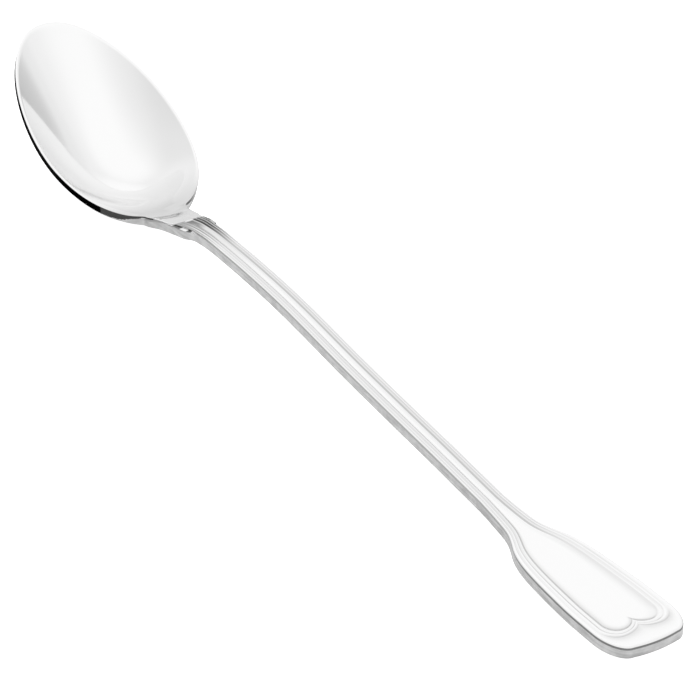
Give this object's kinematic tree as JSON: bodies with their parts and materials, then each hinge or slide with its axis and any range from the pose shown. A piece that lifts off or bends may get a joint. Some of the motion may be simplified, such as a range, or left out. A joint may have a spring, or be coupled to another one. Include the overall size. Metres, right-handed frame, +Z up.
{
  "type": "iced tea spoon",
  "caption": "Long-handled steel spoon with an oval bowl and a fiddle-shaped handle end edged by a raised double thread, for stirring tall glasses.",
  "frame": {"origin": "centre of the spoon's length and width, on the table that it lies on", "axes": "+X along the spoon from the bowl to the handle's end, +Y across it, +Z up, with the bowl open upwards"},
  "size_m": [0.1934, 0.028, 0.0224],
  "materials": {
    "polished_steel": "mirror polished stainless steel, with satin cut edges"
  },
  "bodies": {
    "root": {"bowl": "polished_steel", "neck": "polished_steel", "stem": "polished_steel", "handle_end": "polished_steel"}
  },
  "joints": []
}
